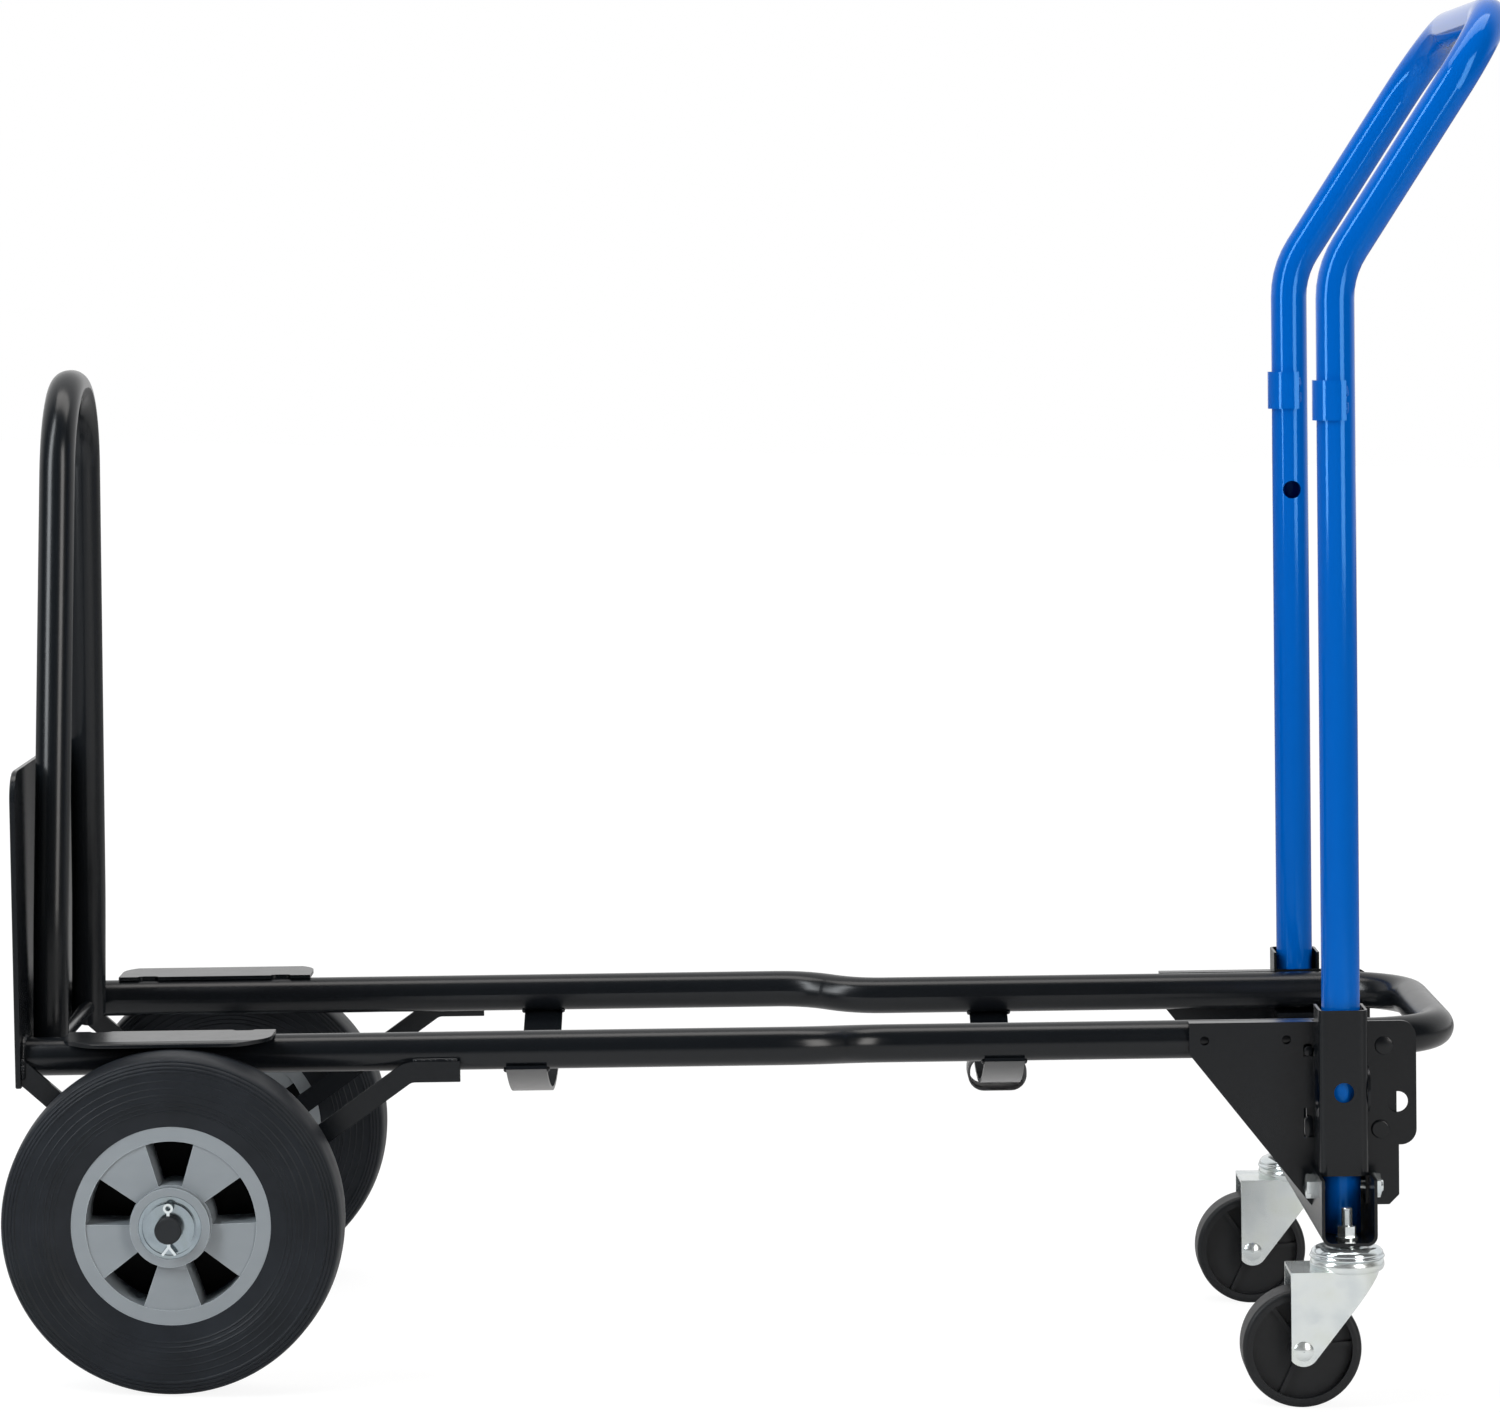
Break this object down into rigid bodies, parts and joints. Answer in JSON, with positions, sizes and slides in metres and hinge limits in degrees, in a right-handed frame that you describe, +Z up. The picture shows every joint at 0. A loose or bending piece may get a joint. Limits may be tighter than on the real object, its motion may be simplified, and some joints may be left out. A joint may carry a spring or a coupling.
{
  "type": "convertible hand truck",
  "caption": "Convertible hand truck set up as a platform cart: tube frame on two big wheels and two swivel casters, blue push handle, folding load loop.",
  "frame": {"origin": "on the floor, under the middle of the bounding box", "axes": "+X from the toe plate towards the handle, +Z up, -Y the left side of a person at the handle"},
  "size_m": [1.1161, 0.5286, 1.0575],
  "materials": {
    "frame_black": "black satin powder coat",
    "handle_blue": "blue satin powder coat",
    "zinc": "bright zinc plate",
    "tyre_rubber": "solid black rubber",
    "hub_grey": "grey moulded plastic",
    "caster_black": "black moulded plastic",
    "webbing": "black woven webbing"
  },
  "bodies": {
    "frame": {"rail_loop": "frame_black", "toe_plate": "frame_black", "loop_hinge_rod": "frame_black", "loop_hinge_bushes": "frame_black", "cross_strap_front": "frame_black", "cross_strap_rear": "frame_black", "strap_tie": "webbing", "fender_left": "frame_black", "fender_right": "frame_black", "axle_bracket_left": "frame_black", "axle_bracket_right": "frame_black", "axle": "frame_black", "axle_spacers": "frame_black", "axle_washers": "zinc", "cotter_pins": "zinc", "handle_bracket_left": "frame_black", "handle_bracket_right": "frame_black", "sleeve_left": "frame_black", "sleeve_right": "frame_black", "caster_channel": "frame_black", "channel_bolts": "zinc", "channel_nuts": "zinc", "caster_stem_left": "zinc", "caster_stem_right": "zinc", "caster_race_left": "zinc", "caster_race_right": "zinc", "stem_nuts": "zinc", "stem_washers": "zinc", "latch_housing_left": "frame_black", "latch_housing_right": "frame_black", "latch_spring_left": "zinc", "latch_spring_right": "zinc", "bracket_rivets": "frame_black"},
    "wheel_left": {"tyre_left": "tyre_rubber", "wheel_hub_left": "hub_grey", "wheel_bearings_left": "zinc", "window_panels_left": "caster_black"},
    "caster_left": {"caster_fork_left": "zinc", "caster_axle_left": "zinc", "caster_bush_left": "zinc"},
    "caster_roller_left": {"caster_wheel_left": "caster_black"},
    "latch_left": {"latch_pin_left": "zinc", "latch_tab_left": "frame_black", "latch_nut_left": "zinc"},
    "wheel_right": {"tyre_right": "tyre_rubber", "wheel_hub_right": "hub_grey", "wheel_bearings_right": "zinc", "window_panels_right": "caster_black"},
    "caster_right": {"caster_fork_right": "zinc", "caster_axle_right": "zinc", "caster_bush_right": "zinc"},
    "caster_roller_right": {"caster_wheel_right": "caster_black"},
    "latch_right": {"latch_pin_right": "zinc", "latch_tab_right": "frame_black", "latch_nut_right": "zinc"},
    "handle": {"handle_tube": "handle_blue", "handle_collars": "handle_blue"},
    "load_loop": {"load_loop": "frame_black"}
  },
  "joints": [
    {"name": "wheel_left_spin", "type": "hinge", "parent": "frame", "child": "wheel_left", "pos_m": [-0.42482, -0.2215, 0.127], "axis": [0, 1, 0], "continuous": true},
    {"name": "caster_left_swivel", "type": "hinge", "parent": "frame", "child": "caster_left", "pos_m": [0.45111, -0.196, 0.10465], "axis": [-0.0333, 0, 0.9994], "continuous": true},
    {"name": "caster_left_roll", "type": "hinge", "parent": "caster_left", "child": "caster_roller_left", "pos_m": [0.4176, -0.196, 0.0445], "axis": [0, 1, 0], "continuous": true},
    {"name": "latch_left_pull", "type": "slide", "parent": "frame", "child": "latch_left", "axis": [0, 1, 0], "range_m": [-0.011, 0]},
    {"name": "wheel_right_spin", "type": "hinge", "parent": "frame", "child": "wheel_right", "pos_m": [-0.42482, 0.2215, 0.127], "axis": [0, 1, 0], "continuous": true},
    {"name": "caster_right_swivel", "type": "hinge", "parent": "frame", "child": "caster_right", "pos_m": [0.45111, 0.196, 0.10465], "axis": [-0.0333, 0, 0.9994], "continuous": true},
    {"name": "caster_right_roll", "type": "hinge", "parent": "caster_right", "child": "caster_roller_right", "pos_m": [0.4176, 0.196, 0.0445], "axis": [0, 1, 0], "continuous": true},
    {"name": "latch_right_pull", "type": "slide", "parent": "frame", "child": "latch_right", "axis": [0, -1, 0], "range_m": [-0.011, 0]},
    {"name": "handle_lift", "type": "slide", "parent": "frame", "child": "handle", "axis": [-0.0333, 0, 0.9994], "range_m": [0, 0.15]},
    {"name": "load_loop_fold", "type": "hinge", "parent": "frame", "child": "load_loop", "pos_m": [-0.53247, 0, 0.23798], "axis": [0, 1, 0], "range_deg": [0, 88.8]}
  ]
}
